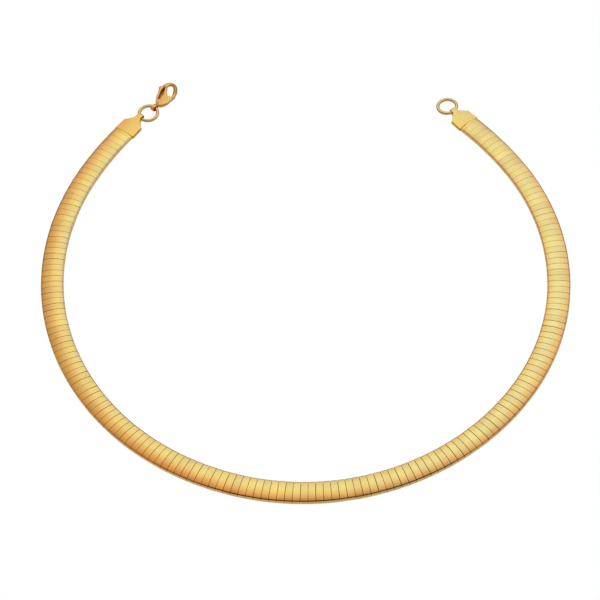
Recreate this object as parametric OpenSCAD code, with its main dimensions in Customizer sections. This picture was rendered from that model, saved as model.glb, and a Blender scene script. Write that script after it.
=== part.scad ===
// Omega necklace: domed plates folded round a woven band, with an end cap, a jump ring and a
// lobster clasp, lying open on a flat surface.
// The plan lies in X and Y with the open ends toward +Y. The folded lips rest on Z = 0, and the
// origin is the middle of the necklace's box at that level.

/* [Band] */
// Width of the band, across one plate
band_w = 8; // [7.5:0.1:8.5]
// Thickness of the band, from the lips to the crown
band_t = 2.1; // [2:0.05:2.2]
// Length of one plate and its seam along the centreline
plate_pitch = 2.5; // [2.2:0.1:2.8]
// Width of the seam between two plates
seam = 0.12; // [0.12:0.01:0.2]
// Thickness of the plates' sheet
sheet = 0.3; // [0.25:0.01:0.35]
// Radius of the dome across a plate
dome_r = 11; // [10:0.5:13]
// Height at which the side wall ends and the shoulder starts
wall_top = 1.2; // [1.1:0.05:1.25]
// Size of the bevels at the shoulder and at the fold below it
fold_bevel = 0.3; // [0.2:0.05:0.4]
// Width of each lip that is folded under the woven band
lip_w = 1.4; // [1:0.1:1.8]

/* [Woven band] */
// Width of the woven band
mesh_w = 7; // [6.4:0.1:7]
// Height of the woven band's crown above the surface
mesh_top = 1.6; // [1.4:0.05:1.65]
// Clearance round the woven band
mesh_gap = 0.06; // [0.04:0.01:0.1]

/* [End caps] */
// Length of the collar between the plates and the groove
collar_l = 1.3; // [1.1:0.1:1.5]
// Width of the groove between the collar and the cap
groove_w = 0.16; // [0.12:0.01:0.2]
// Height of a cap's crown
cap_t = 1.95; // [1.9:0.01:2]
// Height of a cap's side walls
cap_wall = 1.35; // [1.25:0.05:1.4]
// Width of a cap at its shoulders
cap_w = 8.4; // [8.2:0.1:8.6]
// Distance from the groove to the shoulders of the clasp's cap
left_shoulder = 5; // [4.8:0.1:5.2]
// Distance from the groove to the point where the clasp's loop turns
left_neck = 8; // [7.9:0.1:8.1]
// Distance from the groove to the shoulders of the catch's cap
right_shoulder = 4.7; // [4.5:0.1:4.9]
// Distance from the groove to the start of the catch's loop
right_neck = 7.4; // [7.3:0.1:7.5]
// Length of the loop that folds over the jump ring
loop_l = 2.1; // [2.05:0.05:2.2]
// Width of that loop
neck_w = 2.2; // [2.1:0.1:2.3]
// Depth of the pocket that takes the woven band's end
pocket_l = 1.2; // [1.15:0.05:1.5]

/* [Jump rings] */
// Outer diameter of a jump ring
ring_d = 8; // [7.9:0.1:8.1]
// Diameter of a jump ring's wire
wire_d = 1; // [0.9:0.05:1]

/* [Clasp] */
// Thickness of the clasp's body
clasp_t = 2; // [1.95:0.05:2.05]
// Thickness of the clasp's hook
hook_t = 1.3; // [1.2:0.05:1.4]
// Thickness of the lever's gate
gate_t = 1.3; // [1.2:0.05:1.4]
// Diameter of the lever's pin
pin_d = 0.7; // [0.6:0.05:0.8]
// Clearance round the pin in the lever's bore
pin_gap = 0.03; // [0.02:0.01:0.05]

/* [Hidden] */
$fn = 64;
cut = 0.5;

// The band's path as arcs that turn left from the clasp's end to the catch's end
PLATES = 0; // column: number of plates on the arc
RADIUS = 1; // column: radius of the arc's centreline
ARCS = [[8, 123], [44, 97.6], [24, 94], [20, 83.5], [42, 87], [22, 95.5], [10, 130]];
first = [-61.56, 72.44];
first_heading = -131.5;
function plates_before(i) = i == 0 ? 0 : plates_before(i - 1) + ARCS[i - 1][PLATES];
function turned(i, plates) = plates * plate_pitch / ARCS[i][RADIUS] * 180 / PI;
function heading(i) = i == 0 ? first_heading : heading(i - 1) + turned(i - 1, ARCS[i - 1][PLATES]);
function ahead(angle) = [cos(angle), sin(angle)];
function leftward(angle) = [-sin(angle), cos(angle)];
function centre(i) = i == 0
    ? first + ARCS[0][RADIUS] * leftward(first_heading)
    : centre(i - 1) + (ARCS[i][RADIUS] - ARCS[i - 1][RADIUS]) * leftward(heading(i));
arc_count = len(ARCS);
plate_count = plates_before(arc_count);
last_heading = heading(arc_count);
last = centre(arc_count - 1) - ARCS[arc_count - 1][RADIUS] * leftward(last_heading);

// The dome's centre lies below the surface, in the middle of the band
dome_z = band_t - dome_r;
wall_x = band_w / 2;
shoulder_run = 0.44;
shoulder_rise = 0.32;

// The caps: a flatter dome, scooped shoulders and a loop that is a slot seen from the side
cap_dome_r = 20;
cap_bevel = 0.2;
cap_foot = 0.45;
scoop_r = 6;
loop_t = 1.9;
loop_wall = 0.3;
loop_root = 1.2;
slot_start = 0.1;
left_loop_turn = -20;
left_cap_turn = 0;
right_loop_turn = 0;
right_cap_turn = -2;

// Jump rings: middle in a cap's own plan, height, direction of the high side and tilt
ring_r = (ring_d - wire_d) / 2;
left_ring = [12.2, -1.64];
left_ring_z = 1.09;
left_ring_uphill = 75;
left_ring_tilt = 4.5;
right_ring = [11.7, -0.3];
right_ring_z = 0.83;
right_ring_tilt = 2;

// Clasp: the plan's origin is the middle of its eye, X runs to the hook's tip and +Y is the lever's side
clasp_z = 1.25;
clasp_heading = 51.5;
eye_from_ring = 38;
eye_inset = 0.25;
eye_r = 1.15;
eye_bore_r = 0.8;
eye_l = 1.4;
eye_side = 0.4;
eye_ends = [-0.15, 0.2];
eye_turn = -8;
stem_w = 1.7;
pillow_r = 14;
pivot = [3.2, 0.6];
hook_middle = [10.33, 0.82];
hook_r = 3;
hole_low = [7.95, -1.08];
hole_high = [11.03, 1.02];
hole_r = 1.2;
boss_r = 1;
root_r = 0.92;
slot_t = 0.95;
root_t = 0.85;
cheek_reach = 3.95;
gate_start = 4.45;
gate_reach = 7.6;
hook_start = 7.7;
tab_t = 1.6;
tab_start = 6;

// Places a child's outline, drawn across the band, on a stretch of arc i
module along(i, from, plates) {
    translate(centre(i))
        rotate(heading(i) - 90 + turned(i, from))
            rotate_extrude(angle = turned(i, plates))
                translate([ARCS[i][RADIUS], 0])
                    children();
}

// Draws a child's outline across the X axis and stretches it from x = start
module across(start, length) {
    translate([start, 0, 0])
        rotate([90, 0, 90])
            linear_extrude(length)
                children();
}

// Outer outline of a plate: flat below, bevelled folds, side walls and a shallow dome
module plate_outline() {
    intersection() {
        translate([0, dome_z]) circle(dome_r, $fn = 360);
        polygon([
            [-wall_x + fold_bevel, 0], [wall_x - fold_bevel, 0],
            [wall_x, fold_bevel], [wall_x, wall_top],
            [wall_x - shoulder_run, wall_top + shoulder_rise],
            [wall_x - shoulder_run, band_t + cut],
            [-wall_x + shoulder_run, band_t + cut],
            [-wall_x + shoulder_run, wall_top + shoulder_rise],
            [-wall_x, wall_top], [-wall_x, fold_bevel],
        ]);
    }
}

// A plate's section: one sheet with both lips turned under and a mouth between them
module plate_section() {
    difference() {
        plate_outline();
        intersection() {
            translate([0, dome_z]) circle(dome_r - sheet, $fn = 360);
            translate([-wall_x + sheet, sheet]) square([2 * (wall_x - sheet), band_t]);
        }
        translate([-wall_x + lip_w, -cut]) square([2 * (wall_x - lip_w), sheet + 2 * cut]);
    }
}

// Height of the woven band's dome at a distance from the middle
function mesh_height(x) = dome_z + sqrt(pow(mesh_top - dome_z, 2) - x * x);
mesh_floor = sheet + mesh_gap;
mesh_x = mesh_w / 2;

// The pocket that takes the woven band
module mesh_pocket() {
    intersection() {
        translate([0, dome_z]) circle(mesh_top - dome_z + mesh_gap, $fn = 360);
        translate([-mesh_x - mesh_gap, mesh_floor - mesh_gap])
            square([mesh_w + 2 * mesh_gap, band_t]);
    }
}

// The plates whose numbers run from first_plate up to, but not including, end_plate
module plates(first_plate, end_plate) {
    color("gold")
        for (i = [0 : arc_count - 1])
            for (k = [0 : ARCS[i][PLATES] - 1])
                if (first_plate <= plates_before(i) + k && plates_before(i) + k < end_plate)
                    along(i, k + seam / 2 / plate_pitch, 1 - seam / plate_pitch)
                        plate_section();
}

module at_left_cap() {
    translate(first)
        rotate(first_heading + 180)
            translate([collar_l, 0, 0])
                children();
}

module at_right_cap() {
    translate(last)
        rotate(last_heading)
            translate([collar_l, 0, 0])
                children();
}

// Corners of the woven band's section, from the left edge over the dome and back along the floor
MESH_CORNERS = [
    for (x = [-1, -0.5, 0, 0.5, 1]) [x * mesh_x, mesh_height(x * mesh_x)],
    [mesh_x, mesh_floor], [-mesh_x, mesh_floor],
];
ring_step = 2; // plates from one ring of the sweep to the next
inside_cap = 1; // how far the woven band reaches into a cap

// A ring of the sweep where the path passes a point with a heading
function mesh_ring(point, angle) = [
    for (corner = MESH_CORNERS)
        let (plan = point - corner[0] * leftward(angle))
        [plan[0], plan[1], corner[1]]
];
function on_arc(i, plates) =
    centre(i) - ARCS[i][RADIUS] * leftward(heading(i) + turned(i, plates));
MESH_RINGS = [
    mesh_ring(first - (collar_l + inside_cap) * ahead(first_heading), first_heading),
    for (i = [0 : arc_count - 1])
        for (k = [0 : ring_step : ARCS[i][PLATES] - 1])
            mesh_ring(on_arc(i, k), heading(i) + turned(i, k)),
    mesh_ring(last, last_heading),
    mesh_ring(last + (collar_l + inside_cap) * ahead(last_heading), last_heading),
];

// The woven band runs the whole length and ends inside both caps
module woven_band() {
    n = len(MESH_CORNERS);
    rings = len(MESH_RINGS);
    color("goldenrod")
        polyhedron(
            points = [for (ring = MESH_RINGS) each ring],
            faces = [
                [for (j = [0 : n - 1]) j],
                for (r = [0 : rings - 2])
                    for (j = [0 : n - 1])
                        let (a = r * n + j, b = r * n + (j + 1) % n)
                        each [[a, a + n, b], [b, a + n, b + n]],
                [for (j = [n - 1 : -1 : 0]) (rings - 1) * n + j],
            ]
        );
}

// Middle of a circle of radius r through the shoulder and the neck, on the outer side
function scoop_middle(shoulder, neck, r) =
    let (chord = neck - shoulder, reach = norm(chord))
    (shoulder + neck) / 2 + [-chord[1], chord[0]] / reach * sqrt(r * r - reach * reach / 4);

// Plan of a cap with scooped shoulders, from the groove at x = 0 to the neck
module cap_plan(shoulder_x, neck_x) {
    shoulder = [shoulder_x, cap_w / 2];
    neck = [neck_x, neck_w / 2];
    middle = scoop_middle(shoulder, neck, scoop_r);
    difference() {
        polygon([
            [0, -cap_w / 2 + 0.1], [shoulder_x, -cap_w / 2], [neck_x, -cap_w / 2],
            [neck_x, cap_w / 2], [shoulder_x, cap_w / 2], [0, cap_w / 2 - 0.1],
        ]);
        translate(middle) circle(scoop_r, $fn = 180);
        translate([middle[0], -middle[1]]) circle(scoop_r, $fn = 180);
    }
}

// Section of a cap: a bevelled foot, straight walls, a small bevel and a flat dome
module cap_outline() {
    half = cap_w / 2;
    intersection() {
        translate([0, cap_t - cap_dome_r]) circle(cap_dome_r, $fn = 360);
        polygon([
            [-half + cap_foot, 0], [half - cap_foot, 0], [half, cap_foot],
            [half, cap_wall], [half - cap_bevel, cap_wall + cap_bevel],
            [half - cap_bevel, cap_t + cut], [-half + cap_bevel, cap_t + cut],
            [-half + cap_bevel, cap_wall + cap_bevel], [-half, cap_wall], [-half, cap_foot],
        ]);
    }
}

// The loop from its root at x = 0: a bar with a round tip
module loop_bar() {
    rotate([90, 0, 0])
        linear_extrude(neck_w, center = true) {
            translate([loop_l - loop_t / 2, loop_t / 2]) circle(loop_t / 2);
            translate([-loop_root, 0]) square([loop_l - loop_t / 2 + loop_root, loop_t]);
        }
}

// The slot through the loop that the jump ring passes
module loop_slot() {
    slot_r = loop_t / 2 - loop_wall;
    rotate([90, 0, 0])
        linear_extrude(2 * neck_w, center = true) {
            translate([loop_l - loop_t / 2, loop_t / 2]) circle(slot_r);
            translate([slot_start, loop_wall]) square([loop_l - loop_t / 2 - slot_start, 2 * slot_r]);
        }
}

module end_cap(shoulder_x, neck_x, cap_turn, loop_turn) {
    color("gold")
        difference() {
            union() {
                across(-collar_l + seam / 2, collar_l - seam / 2 - groove_w) plate_outline();
                translate([-2 * groove_w, -wall_x + sheet, sheet / 2])
                    cube([4 * groove_w, band_w - 2 * sheet, wall_top]);
                rotate(cap_turn) {
                    intersection() {
                        linear_extrude(cap_t + cut) cap_plan(shoulder_x, neck_x);
                        across(-cut, neck_x + 2 * cut) cap_outline();
                    }
                    translate([neck_x, 0, 0]) rotate(loop_turn) loop_bar();
                }
            }
            across(-collar_l - cut, collar_l + cut + pocket_l) mesh_pocket();
            rotate(cap_turn) translate([neck_x, 0, 0]) rotate(loop_turn) loop_slot();
        }
}

module end_cap_left() {
    at_left_cap() end_cap(left_shoulder, left_neck, left_cap_turn, left_loop_turn);
}

module end_cap_right() {
    at_right_cap() end_cap(right_shoulder, right_neck, right_cap_turn, right_loop_turn);
}

module jump_ring() {
    color("darkgoldenrod")
        rotate_extrude()
            translate([ring_r, 0])
                circle(wire_d / 2);
}

// The left ring's middle in the necklace's plan, and the eye's middle on it
left_cap_angle = first_heading + 180;
left_ring_plan = first
    + (left_ring[0] + collar_l) * ahead(left_cap_angle)
    + left_ring[1] * leftward(left_cap_angle);
eye_plan = left_ring_plan + (ring_r - eye_inset) * ahead(eye_from_ring);

module jump_ring_left() {
    translate([left_ring_plan[0], left_ring_plan[1], left_ring_z])
        rotate(left_ring_uphill)
            rotate([0, -left_ring_tilt, 0])
                jump_ring();
}

module jump_ring_right() {
    at_right_cap()
        translate([right_ring[0], right_ring[1], right_ring_z])
            rotate([0, right_ring_tilt, 0])
                jump_ring();
}

module at_clasp() {
    translate([eye_plan[0], eye_plan[1], clasp_z])
        rotate(clasp_heading)
            children();
}

module slab(thickness) {
    translate([0, 0, -thickness / 2])
        linear_extrude(thickness)
            children();
}

// The opening of the hook: a slanted slot with round ends
module hook_hole() {
    slant = hole_high - hole_low;
    translate(hole_low) circle(hole_r);
    translate(hole_high) circle(hole_r);
    translate(hole_low)
        rotate(atan2(slant[1], slant[0]))
            translate([0, -hole_r])
                square([norm(slant), 2 * hole_r]);
}

// Thins the children toward both sides like a pillow
module inside_pillow() {
    intersection() {
        children();
        translate([-5, 0.2, clasp_t / 2 - pillow_r])
            rotate([0, 90, 0])
                cylinder(r = pillow_r, h = 25, $fn = 360);
        translate([-5, 0.2, pillow_r - clasp_t / 2])
            rotate([0, 90, 0])
                cylinder(r = pillow_r, h = 25, $fn = 360);
    }
}

// Everything on the lever's side of the opening, out to a radius about the pivot
module gate_side(reach) {
    intersection() {
        translate(pivot) circle(reach, $fn = 180);
        polygon([[7.3, -0.9], [11, 0.6], [12, 1.2], [12, 5.5], [1.5, 5.5], [1.5, -0.2], [6.9, -0.6]]);
    }
}

// The hook and the back of the claw, cut away where the gate closes it
module hook_plan() {
    difference() {
        union() {
            translate(hook_middle) circle(hook_r, $fn = 120);
            polygon([[5.5, -2.85], [7.8, -3], [9.5, -2.45], [11.3, -1.85], [10, -0.5], [5.5, -1.9]]);
        }
        hook_hole();
        gate_side(hook_start);
    }
}

// The claw's back, its cheeks and the boss round the pin
module cheek_plan() {
    difference() {
        intersection() {
            polygon([
                [1.6, -0.85], [2.3, -1.4], [3.1, -2.3], [3.9, -2.75], [7.8, -3], [7.8, 0.5],
                [7.2, 0.9], [6.1, 1.35], [4.3, 0.75], [3.4, 1.1], [1.6, 0.85],
            ]);
            translate(pivot) circle(5.6, $fn = 180);
        }
        hook_hole();
        intersection() {
            translate(pivot) difference() {
                circle(9);
                circle(cheek_reach, $fn = 180);
            }
            translate([3, -0.7]) square([9, 5]);
        }
    }
    translate(pivot) circle(boss_r);
}

// The slot between the cheeks that the lever turns in
module lever_slot() {
    translate(pivot) circle(root_r + 0.12);
    polygon([[2.8, -0.3], [3.7, -0.5], [6.3, -1.9], [7.9, -1.4], [7.9, 3.5], [2.3, 3]]);
}

// Outline of the eye's barrel seen along its bore
module eye_outline(r) {
    for (x = eye_ends) translate([x, 0]) circle(r);
    translate([eye_ends[0], -r]) square([eye_ends[1] - eye_ends[0], 2 * r]);
}

module along_eye(length) {
    rotate(eye_turn)
        translate([0, eye_side, 0])
            rotate([90, 0, 0])
                linear_extrude(length, center = true)
                    children();
}

module clasp_body() {
    color("peru")
        at_clasp()
            difference() {
                union() {
                    along_eye(eye_l) eye_outline(eye_r);
                    translate([1.2, -stem_w / 2, -hook_t / 2]) cube([1.4, stem_w, hook_t]);
                    inside_pillow() {
                        union() {
                            slab(hook_t) hook_plan();
                            slab(clasp_t) cheek_plan();
                        }
                    }
                }
                along_eye(eye_l + 1) eye_outline(eye_bore_r);
                slab(slot_t) lever_slot();
                translate(pivot) cylinder(r = pin_d / 2 + 0.01, h = clasp_t + 1, center = true);
            }
}

// Plan of the lever: root, outer strip, thumb tab and gate
module lever_plan() {
    difference() {
        union() {
            translate(pivot) circle(root_r);
            intersection() {
                translate(pivot) circle(gate_reach, $fn = 180);
                polygon([
                    [3.8, -0.05], [7.15, -0.65], [7.61, -0.1], [10.5, 2.2], [11, 3], [10.3, 3.7],
                    [9.8, 4.2], [9.1, 4.3], [8.5, 4.05], [7.8, 3.65], [7, 3.35], [5, 2.8],
                    [4, 2.3], [2.8, 1.45],
                ]);
            }
        }
        hook_hole();
    }
}

// The groove along the lever's top, between the gate and the outer strip
module lever_groove() {
    linear_extrude(clasp_t)
        polygon([
            [4.1, 1.05], [5.6, 1.3], [7, 1.6], [9.3, 2.3], [9.4, 2.75], [8, 2.75], [5.6, 2.05], [4.1, 1.5],
        ]);
}

// The part of the lever's plan beyond a radius about the pivot
module lever_beyond(radius) {
    difference() {
        lever_plan();
        translate(pivot) circle(radius, $fn = 180);
    }
}

module clasp_lever() {
    color("chocolate")
        at_clasp()
            difference() {
                union() {
                    slab(root_t) lever_plan();
                    slab(gate_t) lever_beyond(gate_start);
                    slab(tab_t)
                        intersection() {
                            lever_beyond(tab_start);
                            polygon([[5, 3.4], [10.5, 3], [10.5, 6], [5, 6]]);
                        }
                }
                translate([0, 0, -0.25]) lever_groove();
                translate(pivot)
                    cylinder(r = pin_d / 2 + pin_gap, h = clasp_t, center = true);
            }
}

module clasp_pin() {
    color("sienna")
        at_clasp()
            translate(pivot)
                cylinder(d = pin_d, h = clasp_t, center = true);
}

plates(0, plate_count / 2);  // plates_left
plates(plate_count / 2, plate_count);  // plates_right
woven_band();
end_cap_left();
end_cap_right();
jump_ring_left();
jump_ring_right();
clasp_body();
clasp_lever();
clasp_pin();
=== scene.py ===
from math import cos, pi, radians, sin, sqrt

import bpy
import numpy as np
from bpy.props import FloatProperty, FloatVectorProperty, PointerProperty
from mathutils import Matrix, Vector


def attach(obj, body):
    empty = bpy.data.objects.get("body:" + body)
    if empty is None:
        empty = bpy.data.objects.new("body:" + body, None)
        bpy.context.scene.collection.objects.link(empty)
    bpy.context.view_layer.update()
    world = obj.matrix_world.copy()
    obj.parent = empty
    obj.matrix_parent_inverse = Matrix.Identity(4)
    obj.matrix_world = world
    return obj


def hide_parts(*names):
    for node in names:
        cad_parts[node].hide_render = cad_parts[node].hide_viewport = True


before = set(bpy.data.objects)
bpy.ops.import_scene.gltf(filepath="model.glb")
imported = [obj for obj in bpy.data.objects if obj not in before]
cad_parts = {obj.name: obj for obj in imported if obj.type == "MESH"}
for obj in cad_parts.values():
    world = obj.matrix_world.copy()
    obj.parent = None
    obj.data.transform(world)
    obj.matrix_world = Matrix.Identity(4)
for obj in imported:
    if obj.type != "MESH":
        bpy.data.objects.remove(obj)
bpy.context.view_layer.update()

bl_info = {
    "name": "Omega necklace",
    "version": (1, 0, 0),
    "blender": (4, 5, 0),
    "location": "3D View > Sidebar > Necklace",
    "description": "Dresses the packed omega necklace: plates, woven band, caps, rings and clasp",
    "category": "Object",
}

MM = 0.001

# The band's path: arcs that turn left from the clasp's end to the catch's end
PLATES_ON_ARC = np.array([8, 44, 24, 20, 42, 22, 10])
ARC_RADIUS = np.array([123.0, 97.6, 94.0, 83.5, 87.0, 95.5, 130.0])
PATH_START = np.array([-61.56, 72.44])
START_HEADING = radians(-131.5)
PITCH = 2.5
PLATE_COUNT = int(PLATES_ON_ARC.sum())
PATH_LENGTH = PLATE_COUNT * PITCH

# A plate's section
WALL_X = 4.0
WALL_TOP = 0.98
BAND_TOP = 2.1
DOME_R = 11.0
DOME_Z = BAND_TOP - DOME_R
SHEET = 0.3
LIP_W = 1.4
KNEE_RUN = 0.14
KNEE_RISE = 0.34
SHOULDER_RUN = 0.48
DOME_START = 0.12
DOME_POINTS = 13

# The woven band's section
MESH_X = 3.5
MESH_TOP = 1.6
MESH_FLOOR = 0.36

# The caps
COLLAR_L = 1.3
GROOVE_W = 0.16
CAP_T = 1.95
CAP_W = 8.4
CAP_DOME_R = 20.0
CAP_BEVEL = 0.3
CAP_BEVEL_RISE = 0.45
CAP_FOOT = 0.45
SCOOP_R = 8.1
NECK_W = 2.2
NECK_FLARE = 0.2
CAP_SWELL = 0.18
CAP_SHIFT = (-0.2, 0.1)
LOOP_T = 1.95
LOOP_WALL = 0.25
LOOP_TAPER = 0.22

# The jump rings, with their middles in their own caps' plans and their tilts in degrees. The right
# ring is tilted along its cap's heading
RING_R = 3.46
WIRE_R = 0.62
LEFT_RING = (12.34, -1.66, 1.07)
LEFT_UPHILL = 75.0
LEFT_TILT = 3.5
RIGHT_RING = (11.7, -0.3, 0.83)
RIGHT_TILT = -2.0

# The clasp, in its own plan: X runs from the eye to the hook's tip and +Y is the lever's side
CLASP_AT = (-48.8253, 83.4651, 1.25)
CLASP_HEADING = 51.5
PIVOT = (3.2, 0.6)

# The stage: the floor's reach from the middle, how far it lies below the necklace, and the camera
FLOOR_REACH = 1500.0
FLOOR_GAP = 0.02
CAMERA_TARGET = (-0.00223, -0.01095, 0.0)
SENSOR_MM = 36.0
PICTURE_PIXELS = 600.0

# Points on each rounded corner
CORNER_STEPS = 4


def full_turn(count):
    """Angles spread evenly over a full turn."""
    return np.linspace(0, 2 * pi, count, endpoint=False)


def stacked(*parts):
    """Points from coordinates that are stretched to one shape."""
    return np.stack(np.broadcast_arrays(*parts), -1)


def raised(plan, up):
    """Points of a plan given their heights."""
    return stacked(plan[..., 0], plan[..., 1], up)


def along_path(s):
    """The centreline at distances s: an arc's middle plus its radius, turned by the angle run
    since the arc's start. Beyond either end it runs straight on. Gives points and headings."""
    s = np.asarray(s, float)
    lengths = PLATES_ON_ARC * PITCH
    starts = np.concatenate([[0.0], np.cumsum(lengths)])
    headings = START_HEADING + np.concatenate([[0.0], np.cumsum(lengths / ARC_RADIUS)])
    corners = [PATH_START]
    for radius, begin, end in zip(ARC_RADIUS, headings[:-1], headings[1:]):
        step = [sin(end) - sin(begin), cos(begin) - cos(end)]
        corners.append(corners[-1] + radius * np.array(step))
    corners = np.array(corners)
    inside = np.clip(s, 0.0, PATH_LENGTH)
    arc = np.clip(np.searchsorted(starts, inside, side="right") - 1, 0, len(lengths) - 1)
    begin = headings[arc]
    turned = begin + (inside - starts[arc]) / ARC_RADIUS[arc]
    run = stacked(np.sin(turned) - np.sin(begin), np.cos(begin) - np.cos(turned))
    points = corners[arc] + ARC_RADIUS[arc][..., None] * run
    ahead = stacked(np.cos(turned), np.sin(turned))
    return points + (s - inside)[..., None] * ahead, turned


def place_across(s, across, up):
    """Points at distance s along the band, moved outward from the arcs by across and raised by up."""
    points, heading = along_path(s)
    outward = stacked(np.sin(heading), -np.cos(heading))
    return raised(points + across[..., None] * outward, up)


def on_arc(x, middle, radius):
    """Points at x on the upper side of a circle whose middle lies at that height."""
    x = np.asarray(x, float)
    return stacked(x, middle + np.sqrt(radius ** 2 - x ** 2))


def eased(corners, cuts):
    """A polyline whose corners are rounded: each corner B becomes the quadratic curve
    (1-t)^2 A + 2t(1-t) B + t^2 C, with A and C at the corner's own cut from B on its two sides.
    The first point stays, and the last is left out, because the next curve begins there."""
    corners = np.asarray(corners, float)
    middle = corners[1:-1]
    back = corners[:-2] - middle
    on = corners[2:] - middle
    cuts = np.asarray(cuts, float)[:, None]
    a = middle + back / np.linalg.norm(back, axis=1, keepdims=True) * cuts
    c = middle + on / np.linalg.norm(on, axis=1, keepdims=True) * cuts
    t = np.linspace(0.0, 1.0, CORNER_STEPS)[None, :, None]
    curve = (1 - t) ** 2 * a[:, None] + 2 * t * (1 - t) * middle[:, None] + t ** 2 * c[:, None]
    return np.concatenate([corners[:1], curve.reshape(-1, 2)])


def spline(p, fine):
    """A Catmull-Rom curve through points: on each span the cubic whose end slopes are half the step
    between the two neighbours. Gives fine points a span, and one for the end."""
    spans = len(p) - 1
    p = np.concatenate([2 * p[:1] - p[1:2], p, 2 * p[-1:] - p[-2:-1]])
    u = np.linspace(0.0, spans - 1e-9, fine * spans + 1)
    i = u.astype(int)
    t = (u - i)[:, None]
    a, b, c, d = p[i], p[i + 1], p[i + 2], p[i + 3]
    return 0.5 * (2 * b + (c - a) * t + (2 * a - 5 * b + 4 * c - d) * t ** 2
                  + (3 * b - a - 3 * c + d) * t ** 3)


def grid_faces(rows, cols, wrap_rows=False, wrap_cols=False):
    """Quads of a grid of rows by cols points that are numbered row by row."""
    i = np.arange(rows if wrap_rows else rows - 1)[:, None]
    j = np.arange(cols if wrap_cols else cols - 1)[None, :]
    i2 = (i + 1) % rows
    j2 = (j + 1) % cols
    return stacked(i * cols + j, i2 * cols + j, i2 * cols + j2, i * cols + j2).reshape(-1, 4)


def volume_sign(points, faces):
    """The sign of the enclosed volume: a sixth of the sum of the triangles' triple products."""
    total = 0.0
    for block in faces:
        for k in range(1, block.shape[1] - 1):
            a, b, c = points[block[:, 0]], points[block[:, k]], points[block[:, k + 1]]
            total += float(np.einsum("ij,ij->i", a, np.cross(b, c)).sum())
    return 1 if total >= 0 else -1


def tube(rings):
    """A closed shell over rings of points (rings, points, 3), with a flat face on each end."""
    rows, cols = rings.shape[:2]
    points = rings.reshape(-1, 3)
    first = np.arange(cols)[None, :]
    last = first[:, ::-1] + (rows - 1) * cols
    return points, [grid_faces(rows, cols, wrap_cols=True), first, last]


def donut(rings):
    """A closed shell over rings of points that meet end to end."""
    rows, cols = rings.shape[:2]
    return rings.reshape(-1, 3), [grid_faces(rows, cols, wrap_rows=True, wrap_cols=True)]


def joined(shells):
    """Several shells as one list of points and faces, each turned to face outwards."""
    points, faces, start = [], [], 0
    for shell_points, shell_faces in shells:
        flip = volume_sign(shell_points - shell_points.mean(0), shell_faces) < 0
        points.append(shell_points)
        faces += [(block[:, ::-1] if flip else block) + start for block in shell_faces]
        start += len(shell_points)
    return np.concatenate(points), faces


def make_piece(name, shells, material, crease=40.0, uv=None, tone=None):
    """A mesh object from shells in millimetres, smooth except along edges sharper than crease."""
    points, faces = joined(shells)
    loops = np.concatenate([block.ravel() for block in faces]).astype(np.int32)
    sizes = np.concatenate([np.full(len(block), block.shape[1]) for block in faces])
    mesh = bpy.data.meshes.new(name)
    mesh.vertices.add(len(points))
    mesh.vertices.foreach_set("co", (points * MM).astype(np.float32).ravel())
    mesh.loops.add(len(loops))
    mesh.loops.foreach_set("vertex_index", loops)
    mesh.polygons.add(len(sizes))
    mesh.polygons.foreach_set("loop_start", (np.cumsum(sizes) - sizes).astype(np.int32))
    mesh.polygons.foreach_set("use_smooth", np.ones(len(sizes), bool))
    mesh.update(calc_edges=True)
    mesh.validate()
    mesh.set_sharp_from_angle(angle=radians(crease))
    if uv is not None:
        layer = mesh.uv_layers.new(name="surface")
        layer.data.foreach_set("uv", uv[loops].astype(np.float32).ravel())
    # The tone attribute holds the plates' random tones and the clasp's painted shade
    if tone is not None:
        attribute = mesh.attributes.new("tone", "FLOAT", "POINT")
        attribute.data.foreach_set("value", tone.astype(np.float32))
    mesh.materials.append(material)
    piece = bpy.data.objects.new(name, mesh)
    bpy.context.scene.collection.objects.link(piece)
    return piece


def plate_section():
    """The sheet's two sides as open curves from lip to lip: folds, side walls, steep knees, bevelled
    shoulders and a circular arc for the dome, with the same number of points outside and inside.
    Two more points on each shoulder's bevel keep its shading flat."""
    def side(wall, floor, wall_top, shoulder_x, radius, fold, corner):
        reach = shoulder_x - DOME_START
        arc = on_arc([shoulder_x, *np.linspace(reach, -reach, DOME_POINTS)], DOME_Z, radius)
        corners = [(WALL_X - LIP_W, floor), (wall, floor), (wall, wall_top),
                   (wall - KNEE_RUN, wall_top + KNEE_RISE), *arc[:2]]
        right = eased(corners, (fold, corner, 0.8 * corner, corner))
        bevel = 1 + 3 * CORNER_STEPS
        along = np.array([[0.15], [0.85]])
        right = np.insert(right, bevel, right[bevel - 1] * (1 - along) + right[bevel] * along, axis=0)
        left = right[::-1] * (-1, 1)
        return np.concatenate([right, arc[1:], left])

    inner_drop = 0.15
    inner_run = 0.14
    shoulder = WALL_X - SHOULDER_RUN
    outer = side(WALL_X, 0.0, WALL_TOP, shoulder, DOME_R, fold=0.3, corner=0.07)
    inner = side(WALL_X - SHEET, SHEET, WALL_TOP - inner_drop, shoulder - inner_run, DOME_R - SHEET,
                 fold=0.08, corner=0.05)
    return outer, inner


# How far the seams are open along the band, as a share of the seam setting, at these plates
OPEN_AT = (0, 12, 35, 75, 95, 115, 135, 150, 170)
OPEN_SHARE = (0.42, 0.72, 1.05, 1.02, 1.22, 1.05, 1.02, 0.64, 0.4)
# A plate's inner stations as a share of its half length, the height under which a point belongs to
# the lips, and the share of the seam that the lips close
INNER_STATION = 0.45
LIP_TOP = 0.35
LIP_CLOSE = 0.6
# The plates' tones: their middle and their spread
PLATE_TONE = (0.5, 0.25)


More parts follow.
